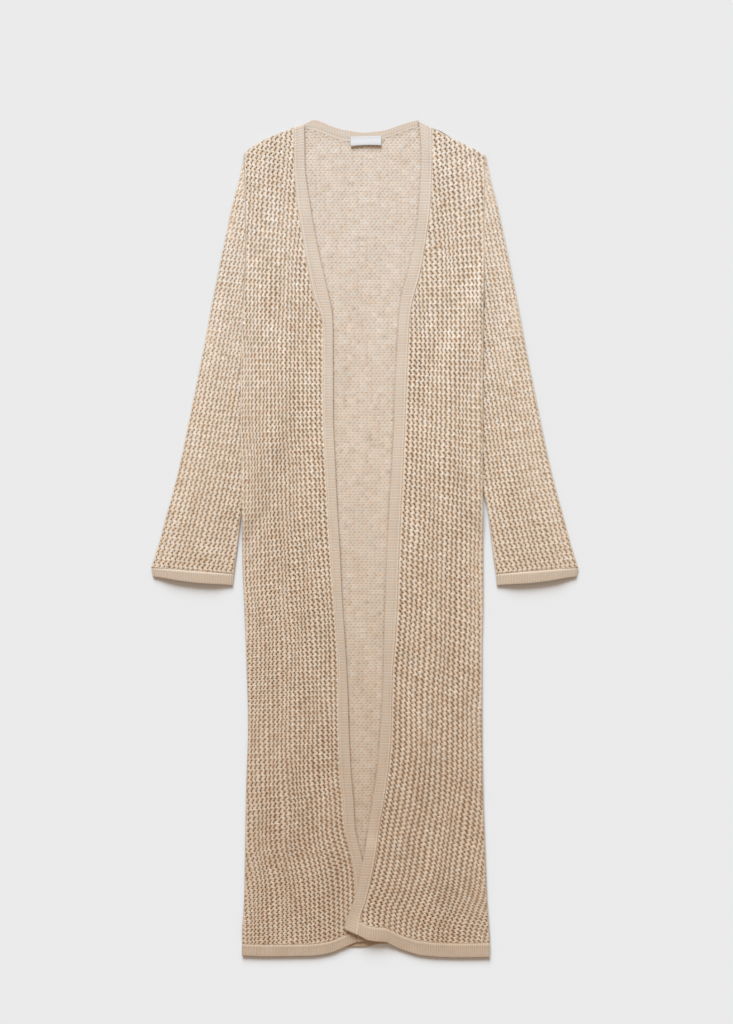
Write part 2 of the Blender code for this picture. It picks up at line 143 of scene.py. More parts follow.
def read(rows, column, at, by="h"):
    # a smooth curve through a table's column: cubics whose slope at each row is the harmonic
    # mean of its neighbours', so that it never swings past a point
    xs, ys = rows[by], rows[column]
    at = np.clip(at, xs[0], xs[-1])
    step = np.diff(xs)
    slope = np.diff(ys) / step
    before, after = slope[:-1], slope[1:]
    sameWay = before * after > 0
    total = np.where(sameWay, before + after, 1.0)
    inner = np.where(sameWay, 2 * before * after / total, 0.0)
    tangent = np.concatenate([slope[:1], inner, slope[-1:]])
    i = np.clip(np.searchsorted(xs, at, side="right") - 1, 0, len(step) - 1)
    t = (at - xs[i]) / step[i]
    return (
        ys[i] * (2 * t**3 - 3 * t**2 + 1)
        + ys[i + 1] * (3 * t**2 - 2 * t**3)
        + tangent[i] * step[i] * (t**3 - 2 * t**2 + t)
        + tangent[i + 1] * step[i] * (t**3 - t**2)
    )


def softNoise(u, v, seed):
    # eight sine waves in seeded directions, added up, mostly between -1 and 1
    dice = np.random.default_rng(seed)
    total = 0.0
    for turn, lag, rate in dice.uniform((0, 0, 0.5), (2 * math.pi, 2 * math.pi, 1.5), (8, 3)):
        along = u * math.cos(turn) + v * math.sin(turn)
        total = total + np.sin(2 * math.pi * rate * along + lag)
    return total / 4


def backLevel(x, h):
    # the back lies on the surface, and 5.2 mm up where a sleeve is tucked under it
    reach = read(cloth["tuck"], "reach", h)
    return 5.2 * smoothStep((np.abs(x) - reach + 44.0) / 38.0)


def frontLevel(side, x, h):
    # the underside of a front: the back's top, the soft folds, and the left front's climb over
    # the right one near the hem
    level = backLevel(x, h) + cloth["wall"] + cloth["layerGap"]
    for lowX, lowH, highX, highH, halfWidth, rise in zip(*cloth["folds"][side].values()):
        along = (h - lowH) / (highH - lowH)
        level = level + rise * hump((x - blend(lowX, highX, along)) / halfWidth) * hump(2 * along - 1)
    if side == left:
        covered = read(cloth["frontEdge"][right], "free", h) + 18.0
        across = smoothStep((covered + 30.0 - x) / 30.0) * smoothStep((192.0 - h) / 30.0)
        corner = hump(x / 52.0) * smoothStep((72.0 - h) / 45.0)
        level = level + 2.8 * across + 3.5 * corner
    return level


def makeMesh(name, x, h, z, faces, uv, shade, material):
    # one piece from flat arrays of points and lists of corners, with cloth coordinates and shade
    points = np.column_stack([x, h - middleHeight, z]) * mm
    mesh = bpy.data.meshes.new(name)
    mesh.from_pydata(points.tolist(), [], faces)
    corners = np.empty(len(mesh.loops), np.int32)
    mesh.loops.foreach_get("vertex_index", corners)
    uvLayer = mesh.uv_layers.new(name="cloth")
    uvLayer.data.foreach_set("uv", (uv[corners] * mm).astype(np.float32).ravel())
    attribute = mesh.attributes.new("shade", "FLOAT", "POINT")
    attribute.data.foreach_set("value", shade.astype(np.float32))
    mesh.polygons.foreach_set("use_smooth", np.ones(len(mesh.polygons), bool))
    mesh.materials.append(material)
    mesh.update()
    piece = bpy.data.objects.new(name, mesh)
    bpy.context.scene.collection.objects.link(piece)
    return piece


# what the frame is told about each piece
def dress(piece, nodes):
    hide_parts(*nodes)
    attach(piece, "root")


print("tables and shapes ready")

# Materials. Each yarn goes from a deep to a light tone with the mesh's shade attribute, which holds
# the knit's pattern together with painted shade and painted highlights, and a heathered noise moves
# it a little; the legs of the stitches are a fine slanting bump on each rib. Plain knit has a course
# every few millimetres along its v coordinate. The colour is also painted darker and warmer towards
# the hem as painted light fall-off.
yarns = {
    "openKnit": {"deep": (0.240, 0.105, 0.030), "middle": (0.505, 0.374, 0.255),
                 "light": (0.840, 0.755, 0.655), "heather": 0.10, "bump": 0.55, "courseTone": 0.0,
                 "wale": 0.0065},
    "purlKnit": {"deep": (0.300, 0.170, 0.080), "middle": (0.530, 0.430, 0.335),
                 "light": (0.740, 0.645, 0.550), "heather": 0.07, "bump": 0.45, "courseTone": 0.0,
                 "wale": 0.0065},
    "plainKnit": {"deep": (0.270, 0.140, 0.060), "middle": (0.503, 0.405, 0.312),
                  "light": (0.720, 0.625, 0.530), "heather": 0.13, "bump": 0.45,
                  "courseTone": 0.045, "wale": 0.0021},
}
fibre = {"roughness": 0.86, "specular": 0.25, "sheen": 0.18, "sheenRoughness": 0.55,
         "leg": 0.00205, "slant": 1.1, "relief": 0.0003, "course": 0.0041,
         "paintedFalloffTints": table("y red green blue", (-0.415, 0.786, 0.725, 0.677), (0.155, 0.997, 1.0, 1.008),
                        (0.55, 1.055, 1.10, 1.17)),
         "lowY": -0.62, "highY": 0.62, "brightest": 1.25,
         "melange": 140.0, "warm": (0.828, 0.780, 0.738), "cool": (0.776, 0.800, 0.822)}


def addNode(tree, kind, inputs=(), **settings):
    node = tree.nodes.new(kind)
    for key, value in settings.items():
        setattr(node, key, value)
    for key, value in dict(inputs).items():
        if isinstance(value, bpy.types.NodeSocket):
            tree.links.new(value, node.inputs[key])
        else:
            node.inputs[key].default_value = value
    return node


def calculate(tree, operation, a, b=0.0, c=0.0):
    node = addNode(tree, "ShaderNodeMath", {0: a, 1: b, 2: c}, operation=operation)
    return node.outputs[0]


def makeYarn(name, look):
    # colour = ramp(shade + heather noise); height = waves that slant away from each rib + fluff
    material = bpy.data.materials.new(name)
    material.use_nodes = True
    tree = material.node_tree
    shader = tree.nodes["Principled BSDF"]
    place = addNode(tree, "ShaderNodeTexCoord").outputs["Object"]
    clothUv = addNode(tree, "ShaderNodeUVMap", uv_map="cloth").outputs["UV"]
    shade = addNode(tree, "ShaderNodeAttribute", attribute_name="shade").outputs["Fac"]
    mottle = addNode(tree, "ShaderNodeTexNoise", {"Vector": place, "Scale": 45.0, "Detail": 3.0})
    fleck = addNode(tree, "ShaderNodeTexNoise", {"Vector": place, "Scale": 620.0, "Detail": 2.0})
    moved = calculate(tree, "MULTIPLY_ADD", mottle.outputs["Fac"], look["heather"], shade)
    moved = calculate(tree, "MULTIPLY_ADD", fleck.outputs["Fac"], look["heather"] * 1.5, moved)
    tone = calculate(tree, "SUBTRACT", moved, look["heather"] * 1.25)
    across, along, _ = addNode(tree, "ShaderNodeSeparateXYZ", {"Vector": clothUv}).outputs
    turn = calculate(tree, "MULTIPLY", along, 2 * math.pi / fibre["course"])
    course = calculate(tree, "COSINE", turn)
    tone = calculate(tree, "MULTIPLY_ADD", course, look["courseTone"], tone)
    ramp = addNode(tree, "ShaderNodeValToRGB", {"Fac": tone})
    ramp.color_ramp.elements[0].position = 0.0
    ramp.color_ramp.elements[0].color = (*look["deep"], 1)
    ramp.color_ramp.elements[1].position = 1.0
    ramp.color_ramp.elements[1].color = (*look["light"], 1)
    ramp.color_ramp.elements.new(0.5).color = (*look["middle"], 1)
    fromRib = calculate(tree, "PINGPONG", across, look["wale"] / 2)
    slanted = calculate(tree, "MULTIPLY_ADD", fromRib, -fibre["slant"], along)
    turn = calculate(tree, "MULTIPLY", slanted, 2 * math.pi / fibre["leg"])
    legs = calculate(tree, "COSINE", turn)
    fluff = calculate(tree, "MULTIPLY_ADD", fleck.outputs["Fac"], 1.4, legs)
    fluff = calculate(tree, "MULTIPLY_ADD", course, look["courseTone"] * 16, fluff)
    # painted light fall-off: the colour is painted darker and warmer towards the hem
    upward = addNode(tree, "ShaderNodeSeparateXYZ", {"Vector": place}).outputs["Y"]
    rise = addNode(tree, "ShaderNodeMapRange", {
        "Value": upward, "From Min": fibre["lowY"], "From Max": fibre["highY"]}).outputs["Result"]
    paintedFalloffTints = addNode(tree, "ShaderNodeValToRGB", {"Fac": rise})
    stops = paintedFalloffTints.color_ramp.elements
    stops.new(0.5)
    for stop, (y, *tint) in zip(stops, zip(*fibre["paintedFalloffTints"].values())):
        stop.position = (y - fibre["lowY"]) / (fibre["highY"] - fibre["lowY"])
        stop.color = (*(channel / fibre["brightest"] for channel in tint), 1)
    colour = addNode(tree, "ShaderNodeVectorMath", {0: paintedFalloffTints.outputs["Color"], 1: ramp.outputs["Color"]},
                     operation="MULTIPLY").outputs[0]
    # two yarns run together, one a little warmer than the other
    strand = addNode(tree, "ShaderNodeTexNoise", {
        "Vector": place, "Scale": fibre["melange"], "Detail": 2.0, "Roughness": 0.7})
    strands = addNode(tree, "ShaderNodeValToRGB", {"Fac": strand.outputs["Fac"]})
    for stop, tint, at in zip(strands.color_ramp.elements, ("warm", "cool"), (0.36, 0.64)):
        stop.position = at
        stop.color = (*fibre[tint], 1)
    colour = addNode(tree, "ShaderNodeVectorMath", {0: colour, 1: strands.outputs["Color"]},
                     operation="MULTIPLY").outputs[0]
    colour = addNode(tree, "ShaderNodeVectorMath", {0: colour, "Scale": fibre["brightest"]**2},
                     operation="SCALE").outputs[0]
    bump = addNode(tree, "ShaderNodeBump", {
        "Height": fluff, "Strength": look["bump"], "Distance": fibre["relief"]})
    tree.links.new(colour, shader.inputs["Base Color"])
    tree.links.new(bump.outputs["Normal"], shader.inputs["Normal"])
    shader.inputs["Roughness"].default_value = fibre["roughness"]
    shader.inputs["Specular IOR Level"].default_value = fibre["specular"]
    shader.inputs["Sheen Weight"].default_value = fibre["sheen"]
    shader.inputs["Sheen Roughness"].default_value = fibre["sheenRoughness"]
    return material


materials = {name: makeYarn(name, look) for name, look in yarns.items()}
print("yarns ready")

# Knit sheets. A stitch is a whole step of c across and of r along. Lists give where its points
# lie in that step. The relief has crests (ribs at whole c, or purl bumps between the rows) and
# eyelets at every whole r between the ribs. The bars between eyelets are by turns high and low.
# The high bars are painted pale as painted highlight and the low bars dark as painted shade,
# which makes slanting strokes, and each stitch differs a little. The eyelets and valleys are
# painted deep as painted shade, and the ribs between rows get painted highlights.
eyelets = {
    "across": (0, 0.22, 0.36, 0.5, 0.64, 0.78), "along": (0, 0.3, 0.7),
    "holeColumns": (2, 3), "holeRows": (0, 2), "ribbed": 1.0,
    "crest": 0.50, "eyelet": 0.60, "bridge": 0.12, "dip": 0.50, "zigzag": 0.19, "crestZigzag": 0.7,
    "tones": {"crest": 0.75, "floor": 0.46, "eyelet": 0.60, "bridge": 0.14, "dip": 0.24,
              "stitch": 0.06},
}
dimples = {
    "across": (0, 0.34, 0.66), "along": (0, 0.5), "holeColumns": (), "holeRows": (), "ribbed": 1.0,
    "crest": 0.45, "eyelet": 0.55, "bridge": 0.2, "dip": 0.4, "zigzag": 0.12, "crestZigzag": 0.5,
    "tones": {"crest": 0.72, "floor": 0.50, "eyelet": 0.55, "bridge": 0.12, "dip": 0.20,
              "stitch": 0.05},
}
purls = {
    "across": (0, 0.28, 0.5, 0.72), "along": (0, 0.5), "holeColumns": (), "holeRows": (),
    "ribbed": 0.0,
    "crest": 0.30, "eyelet": 0.45, "bridge": 0.0, "dip": 0.0, "zigzag": 0.25, "crestZigzag": 1.0,
    "tones": {"crest": 0.67, "floor": 0.59, "eyelet": 0.34, "bridge": 0.0, "dip": 0.0,
              "stitch": 0.0},
}
unevenness = {"swell": 0.10, "swellEach": 0.12, "across": 0.045, "along": 0.06, "tone": 0.055,
              "cloud": 0.02}


def stitchGrid(style, firstColumn, lastColumn, firstRow, lastRow):
    # every stitch's own places, added to its whole column and row
    columns = np.arange(firstColumn, lastColumn)[:, None] + np.array(style["across"])
    rows = np.arange(firstRow, lastRow)[:, None] + np.array(style["along"])
    return np.meshgrid(columns.ravel(), rows.ravel())


def always(value):
    # the same value everywhere
    return lambda x, h: np.full_like(x, value)


def eachStitch(c, r, seed, count):
    # seeded random values, the same for all the points of a stitch
    row = np.round(r).astype(int) - int(r.min())
    column = np.floor(c).astype(int) - int(np.floor(c.min()))
    dice = np.random.default_rng(seed)
    return dice.normal(0, 1, (count, row.max() + 1, column.max() + 1))[:, row, column]


def knitSheet(style, grid, place, limits, level, facing=1, seed=1, rim=None, opening=always(1.0),
              lean=always(0.0), tone=always(0.0), roll=always(0.6)):
    # The stitches' points are pulled onto the outline where they pass it. Eyelets are cut open
    # away from the outline and where opening lets them, and a rim closes the outline.
    c, r = grid
    t = c - np.floor(c)
    s = r - np.round(r)
    across = np.sin(math.pi * t) ** 2
    along = np.cos(math.pi * s) ** 2
    offLine = np.abs(s) > 0.1
    atHole = np.abs(t - 0.5) < 0.25
    sizeEach, acrossEach, alongEach, toneEach = eachStitch(c, r, seed, 4)
    x, h = place(c, r)
    open_ = opening(x, h)
    bars = lean(x, h) * np.sin(math.pi * r) * across
    swell = (0.55 + 0.45 * open_) * (1 + unevenness["swell"] * softNoise(c / 9, r / 40, seed + 5)
                                     + unevenness["swellEach"] * sizeEach)
    shiftT = np.where(atHole, (t - 0.5) * (swell * np.where(offLine, 0.66, 1.0) - 1), 0.0)
    longer = 0.04 * (swell - 1) + np.where(bars < 0, -0.15 * bars, -0.06 * bars)
    shiftS = np.where(atHole & offLine, np.sign(s) * longer, 0.0)
    follows = style["crestZigzag"] + (1 - style["crestZigzag"]) * across
    shiftT = shiftT + style["zigzag"] * follows * np.cos(math.pi * r)
    shiftT = shiftT + unevenness["across"] * acrossEach * across
    shiftS = shiftS + unevenness["along"] * alongEach * across
    x, h = place(c + shiftT, r + shiftS)

    for again in range(3):
        lowX, highX, lowH, highH = limits(x, h)
        x = np.clip(x, lowX, highX)
        h = np.clip(h, lowH, highH)
    lowX, highX, lowH, highH = limits(x, h)
    inside = np.minimum(np.minimum(x - lowX, highX - x), np.minimum(h - lowH, highH - h))
    onEdge = inside < 0.01

    crest = blend(1 - along, 1 - across, style["ribbed"])
    stitch = -np.cos(2 * math.pi * r) * crest * style["ribbed"]
    bridge, dip = np.maximum(bars, 0) * offLine, np.maximum(-bars, 0) * offLine
    relief = (style["crest"] * crest - style["eyelet"] * across * along**2
              + style["bridge"] * bridge - style["dip"] * dip + 0.10 * stitch)
    fade = smoothStep(inside / 2.2)
    z = level(x, h) + facing * (relief * fade - roll(x, h) * (1 - smoothStep(inside / 2.0)))
    tones = style["tones"]
    # painted shade in the valleys, eyelets and low bars, and painted highlight on the high bars and on
    # the ribs between rows; the per-stitch and cloud terms are the yarn's uneven tone
    shade = (
        blend(blend(0.60, tones["floor"], open_), tones["crest"], 1 - (1 - crest) ** 1.6)
        - tones["eyelet"] * (0.35 + 0.65 * open_) * across**2 * along
        + tones["bridge"] * bridge - tones["dip"] * dip + tones["stitch"] * stitch
        + unevenness["tone"] * toneEach + unevenness["cloud"] * softNoise(x / 60, h / 90, seed + 9)
    )
    shade = blend(0.62, shade, 0.3 + 0.7 * fade) + tone(x, h)

    rows, columns = x.shape
    index = np.arange(rows * columns).reshape(rows, columns)
    quads = np.stack([index[:-1, :-1], index[:-1, 1:], index[1:, 1:], index[1:, :-1]], axis=-1)
    keep = ~onEdge.ravel()[quads].all(axis=-1)
    if style["holeColumns"]:
        cutEyelets(style, keep, (inside.ravel()[quads].min(axis=-1) > 0.7)
                   & (open_.ravel()[quads].mean(axis=-1) > 0.18))
    faces = quads[keep]
    # all faces turn the way that the sheet faces
    cx, ch = x.ravel()[faces], h.ravel()[faces]
    area = (cx[:, 2] - cx[:, 0]) * (ch[:, 3] - ch[:, 1])
    area = area - (cx[:, 3] - cx[:, 1]) * (ch[:, 2] - ch[:, 0])
    if area.sum() * facing < 0:
        faces = faces[:, ::-1]
    flat = {"x": x.ravel(), "h": h.ravel(), "z": z.ravel(), "shade": shade.ravel(),
            "u": c.ravel() * 6.5, "v": r.ravel() * 4.1, "edge": onEdge.ravel()}
    if rim is not None:
        addRim(flat, faces, rim)
        faces = flat.pop("faces")
    return tidySheet(flat, faces)


def cutEyelets(style, keep, clear):
    # drops the four quads round an eyelet's middle where all four are clear
    rows, columns = keep.shape
    rowPart = np.arange(rows) % len(style["along"])
    columnPart = np.arange(columns) % len(style["across"])
    isHole = np.isin(rowPart, style["holeRows"])[:, None] & np.isin(columnPart, style["holeColumns"])
    middleRow = np.arange(rows) + (rowPart != style["holeRows"][0])
    middleColumn = np.arange(columns) + (columnPart != style["holeColumns"][1])
    count = np.zeros((rows + 1, columns + 1), int)
    rr, cc = np.nonzero(isHole & clear & keep)
    np.add.at(count, (middleRow[rr], middleColumn[cc]), 1)
    rr, cc = np.nonzero(isHole)
    opened = count[middleRow[rr], middleColumn[cc]] == 4
    keep[rr[opened], cc[opened]] = False


def addRim(flat, faces, rim):
    # a strip from each outline edge to the rim's own level
    edges = np.concatenate([faces[:, [0, 1]], faces[:, [1, 2]], faces[:, [2, 3]], faces[:, [3, 0]]])
    edges = edges[flat["edge"][edges].all(axis=1)]
    ends = np.sort(edges, axis=1)
    size = len(flat["x"])
    key = ends[:, 0].astype(np.int64) * size + ends[:, 1]
    _, first, uses = np.unique(key, return_index=True, return_counts=True)
    border = edges[first[uses == 1]]
    used, place = np.unique(border, return_inverse=True)
    place = place.reshape(border.shape) + size
    strip = np.column_stack([border[:, 1], border[:, 0], place[:, 0], place[:, 1]])
    extra = {key: flat[key][used] for key in flat}
    extra["z"] = rim(extra["x"], extra["h"])
    for key in extra:
        flat[key] = np.concatenate([flat[key], extra[key]])
    flat["faces"] = np.concatenate([faces, strip])


def tidySheet(flat, faces):
    # keeps the points that the faces use and numbers them again
    used, faces = np.unique(faces, return_inverse=True)
    sheet = {key: flat[key][used] for key in flat}
    sheet["faces"] = faces.reshape(-1, 4)
    return sheet


def joinSheets(*sheets):
    # one sheet after the other, with the corners' numbers moved on
    joined = {}
    for key in sheets[0]:
        if key != "faces":
            joined[key] = np.concatenate([sheet[key] for sheet in sheets])
    starts = np.cumsum([0] + [len(sheet["x"]) for sheet in sheets[:-1]])
    joined["faces"] = np.concatenate([sheet["faces"] + start for sheet, start in zip(sheets, starts)])
    return joined


def makeSheet(name, sheet, material):
    # a knitted sheet as a piece, with its stitches' places as cloth coordinates
    uv = np.column_stack([sheet["u"], sheet["v"]])
    return makeMesh(name, sheet["x"], sheet["h"], sheet["z"], sheet["faces"].tolist(), uv,
                    sheet["shade"], material)


# The fronts. Columns run along the band seam up to the neck, where the band cuts across them.
# Rows follow the hem and then a slope of their own. Pitch is a stitch's width, row its height, and
# crowd is how much narrower stitches get towards the side.
fronts = {
    "row": table("h row", (0, 3.50), (190, 3.60), (400, 3.75), (560, 4.08), (1250, 4.08)),
    "firstStitch": 1.3, "middleColumn": 9.0,
    "pitch": {
        right: table("h pitch", (0, 7.1), (163, 7.0), (220, 6.85), (400, 6.6), (545, 6.3),
                     (785, 5.95), (900, 6.0), (1000, 6.3), (1250, 6.6)),
        left: table("h pitch", (0, 8.0), (163, 7.9), (220, 7.8), (400, 7.6), (545, 7.26),
                    (785, 6.7), (900, 6.5), (1000, 6.7), (1250, 7.1)),
    },
    "crowd": {right: table("h crowd", (0, 0.05), (500, 0.10), (700, 0.25), (850, 0.29), (1000, 0)),
              left: table("h crowd", (0, 0.05), (500, 0.10), (800, 0.16), (1000, 0))},
    "neckGuide": {right: table("h x", (940, -62.3), (1003, -60.5), (1060, -57), (1134, -50),
                               (1252, -38)),
                  left: table("h x", (928, 65.8), (1003, 63.5), (1060, 60), (1134, 53), (1252, 41))},
    "rowSlope": {right: table("h slope", (0, 0.05), (190, 0.15), (330, 0.02), (600, 0.12),
                              (733, 0.06), (868, 0), (1003, -0.06), (1138, -0.18), (1250, -0.2)),
                 left: table("h slope", (0, 0.05), (81, 0.15), (193, 0.42), (330, 0.45), (463, 0.42),
                             (598, 0.30), (733, 0.18), (868, 0.06), (1003, -0.04), (1138, -0.2),
                             (1250, -0.2))},
    "wander": 1.4, "waver": 0.45, "overBand": 0.5,
    "flat": {right: (0.176, 1.225), left: (0.196, 1.225)},
    "area": {right: 0.160, left: 0.160},
}


def frontPlace(side):
    # rows pile up from the hem seam by their own heights
    seamH = read(cloth["hemEdge"][side], "h", side * 184.0, by="x") + cloth["hemWidth"][side]
    guide = fronts["neckGuide"][side]
    heights = np.arange(0, 1400, 2.0)
    rowsBelow = np.cumsum(2.0 / read(fronts["row"], "row", heights))

    def place(c, r):
        # x = band seam + c pitches outwards; h = rows up from the hem seam's own shape
        h0 = seamH + np.interp(r, rowsBelow, heights) - 8
        fromMiddle = (fronts["middleColumn"] - c / 2) / (2 * fronts["middleColumn"])
        away = c * read(fronts["pitch"][side], "pitch", h0)
        away = away * (1 + read(fronts["crowd"][side], "crowd", h0) * fromMiddle)
        wander = (fronts["wander"] * softNoise(c / 7, h0 / 150, 31 + side)
                  + fronts["waver"] * softNoise(c / 2.5, h0 / 38, 35 + side)) * smoothStep(c / 2)
        seam = read(cloth["frontEdge"][side], "seam", h0)
        start = np.where(h0 > guide["h"][0], read(guide, "x", h0), seam)
        x = start + side * (fronts["firstStitch"] + away + wander)
        hemRise = read(cloth["hemEdge"][side], "h", x, by="x") + cloth["hemWidth"][side] - seamH
        slope = read(fronts["rowSlope"][side], "slope", h0)
        return x, h0 + hemRise * (1 - smoothStep(h0 / 420)) - slope * away
    return place


def frontLimits(side):
    # the band seam and the side, the hem seam and the shoulder
    def limits(x, h):
        seam = read(cloth["frontEdge"][side], "seam", h)
        edge = read(cloth["bodySides"], sideNames[side], h)
        low = read(cloth["hemEdge"][side], "h", x, by="x") + cloth["hemWidth"][side]
        high = read(cloth["shoulder"][side], "h", x, by="x")
        seam = seam - side * fronts["overBand"]
        return np.minimum(seam, edge), np.maximum(seam, edge), low - fronts["overBand"], high
    return limits


def makeFront(side):
    # an openwork sheet on the front's upper side, whose rim goes down to its underside
    top = cloth["wall"] - 0.55

    def opening(x, h):
        # smaller eyelets in soft patches and close to the side
        fromSide = np.abs(x - read(cloth["bodySides"], sideNames[side], h))
        patches = 0.79 + 0.12 * softNoise(x / 45, h / 110, 21 + side)
        pulled = 0.45 * smoothStep((33 - fromSide) / 25) * smoothStep((1000 - h) / 60)
        high = 0.30 * smoothStep((h - 850) / 250)
        return np.clip(patches * (1 - pulled - high), 0.2, 1.0)

    def lean(x, h):
        # strokes slant one way in the middle and the other way near the right front's side
        swap = smoothStep((np.abs(x) - 105) / 25) if side == right else 0.0
        trend = -0.8 + 1.6 * swap
        return side * np.clip(trend + 0.35 * softNoise(x / 50, h / 160, 25 + side), -1, 1)

    def roll(x, h):
        # the seam to the sleeve lies flat at the armhole
        nearSide = np.abs(x - read(cloth["bodySides"], sideNames[side], h)) < 4
        return np.where(nearSide, 0.6 - 0.55 * smoothStep((h - 960) / 180), 0.1)

    sheet = knitSheet(
        eyelets, stitchGrid(eyelets, -1, 34, 0, 338), frontPlace(side), frontLimits(side),
        lambda x, h: frontLevel(side, x, h) + top, seed=11 + side, opening=opening, lean=lean,
        roll=roll, rim=lambda x, h: frontLevel(side, x, h) + 0.1)
    name = sideNames[side]
    piece = makeSheet("front_" + name + "_knit", sheet, materials["openKnit"])
    dress(piece, ["front_" + name])
    return piece


for side in (right, left):
    makeFront(side)
print("fronts knitted")

# The back: its outer face all over, and its inner face where it shows between the fronts.
back = {
    "row": 4.08, "pitch": 7.2, "insidePitch": 6.4, "underBand": 14.0,
    "flat": (0.375, 1.225), "area": 0.432,
    "insideFlat": (0.2, 1.2), "insideArea": 0.125,
}


def backLimits(x, h):
    # the back's sides, its hem seam and its top
    low = read(cloth["hemEdgeBack"], "h", x, by="x") + cloth["hemWidthBack"]
    high = read(cloth["backTop"], "h", x, by="x")
    return (read(cloth["bodySides"], "right", h), read(cloth["bodySides"], "left", h), low, high)


def insideLimits(x, h):
    # a little under both bands, from the hem seam to the neck
    lowX = read(cloth["frontEdge"][right], "free", np.maximum(h, 238)) - back["underBand"]
    highX = read(cloth["frontEdge"][left], "free", np.maximum(h, 235)) + back["underBand"]
    low, high = backLimits(x, h)[2:]
    return lowX, highX, low, high + 0.9


def insideLevel(x, h):
    # rises a little to meet the neck band
    toBand = read(cloth["backTop"], "h", x, by="x") - h
    return backLevel(x, h) + 1.65 + 0.5 * smoothStep(1 - toBand / 5)


def bandShadow(x, h):
    # painted shadow: the back's inner face is painted deeper right beside the bands' free edges, where
    # the bands shade it
    deep = 0.0
    for side in (right, left):
        gap = np.abs(x - read(cloth["frontEdge"][side], "free", h) + side * 0.4)
        deep = deep - 0.16 * hump(gap / 2.4)
    return deep


def backPlace(pitch, seed):
    def place(c, r):
        # straight columns and rows that wander a little
        h = 20 + r * back["row"]
        x = c * pitch + 1.0 * softNoise(c / 8, h / 190, seed)
        return x, h + 0.8 * softNoise(x / 120, h / 150, seed + 1)
    return place


outside = knitSheet(
    dimples, stitchGrid(dimples, -28, 28, 0, 302), backPlace(back["pitch"], 41), backLimits,
    lambda x, h: backLevel(x, h) + 0.55, facing=-1, seed=43,
    rim=lambda x, h: backLevel(x, h) + 1.85)
inside = knitSheet(
    purls, stitchGrid(purls, -18, 18, 0, 302), backPlace(back["insidePitch"], 47), insideLimits,
    insideLevel, seed=49, rim=lambda x, h: backLevel(x, h) + 0.9,
    tone=bandShadow, roll=always(0.0))
backInside = makeSheet("back_panel_inside", inside, materials["purlKnit"])
backOutside = makeSheet("back_panel_outside", outside, materials["openKnit"])
dress(backOutside, ["back_panel"])
dress(backInside, ["back_panel"])
print("back knitted")

# The sleeves: flattened tubes. Columns run along the outer fold, and rows slope down to the cuff.
sleeves = {
    "row": 4.08, "slope": math.tan(math.radians(6.0)), "folded": 4.4, "dome": 3.0,
    "pitch": table("h pitch", (577, 7.2), (700, 6.9), (860, 6.35), (1206, 6.0)),
    "wander": 1.0, "flat": (0.25, 0.63), "area": 0.102,
    "cuffLine": table("x h", (190, 577.2), (196.5, 577.7), (320, 587), (326, 587.5)),
}


def sleeveTop(x, h):
    # the upper layer's height: 4.4 mm at the folds, 3 mm more across the open part of the sleeve
    outer = read(cloth["sleeveOuter"], "x", h)
    inner = read(cloth["sleeveInner"], "x", h)
    fromBody = x - 192.0 + np.maximum(0, 690.0 - h)
    room = np.minimum(np.minimum(outer - x, x - inner), fromBody) / 32.0
    return sleeves["folded"] + sleeves["dome"] * smoothStep(room) * smoothStep((1206 - h) / 126)


def sleevePlace(side):
    # the same rows and columns for both layers
    def place(c, r):
        # from the outer fold inwards, with h falling at the slope of the rows
        h0 = 566 + r * sleeves["row"]
        away = c * read(sleeves["pitch"], "pitch", h0)
        away = away + sleeves["wander"] * softNoise(c / 7, h0 / 150, 61 + side) * smoothStep(c / 2)
        x = read(cloth["sleeveOuter"], "x", h0) - away
        return side * x, h0 - sleeves["slope"] * away
    return place


def sleeveLimits(side):
    # the two folds, or the body's side above the armpit, then the cuff seam and the shoulder
    def limits(x, h):
        out = side * x
        bodySide = side * read(cloth["bodySides"], sideNames[side], h) + 0.3
        inner = read(cloth["sleeveInner"], "x", h)
        inner = blend(inner, bodySide, smoothStep((h - 975) / 15))
        outer = np.maximum(read(cloth["sleeveOuter"], "x", h), inner)
        low = read(sleeves["cuffLine"], "h", out, by="x") - 0.4
        ends = (inner, outer) if side > 0 else (-outer, -inner)
        return (*ends, low, np.full_like(low, 1206.0))
    return limits


def makeSleeve(side):
    # an openwork upper layer and a dimpled lower one, joined at the folds
    place, limits = sleevePlace(side), sleeveLimits(side)

    def opening(x, h):
        # the outer third is pulled smooth, with small eyelets
        fromFold = read(cloth["sleeveOuter"], "x", h) - side * x
        patches = 0.68 + 0.08 * softNoise(x / 40, h / 90, 65 + side)
        high = 1 - 0.35 * smoothStep((h - 800) / 150)
        return np.clip(patches * high * (0.42 + 0.40 * smoothStep((fromFold - 6) / 60)), 0.1, 1.0)

    def lean(x, h):
        return np.clip(0.6 + 0.35 * softNoise(x / 50, h / 120, 67 + side), -1, 1)

    def roll(x, h):
        # the seam to the cuff lies flat
        fromCuff = h - read(sleeves["cuffLine"], "h", side * x, by="x")
        return np.where(fromCuff < 2, 0.30, 0.6)

    upper = knitSheet(
        eyelets, stitchGrid(eyelets, -1, 21, 0, 158), place, limits,
        lambda x, h: sleeveTop(side * x, h) - 0.5, seed=71 + side, opening=opening, lean=lean,
        roll=roll, rim=lambda x, h: np.full_like(x, 2.1))
    lower = knitSheet(
        dimples, stitchGrid(dimples, -1, 21, 0, 158), place, limits,
        lambda x, h: np.full_like(x, 0.55), facing=-1, seed=75 + side,
        rim=lambda x, h: np.full_like(x, 2.3))
    name = sideNames[side]
    piece = makeSheet("sleeve_" + name + "_knit", joinSheets(upper, lower), materials["openKnit"])
    dress(piece, ["sleeve_" + name])
    return piece


for side in (right, left):
    makeSleeve(side)
print("sleeves knitted")


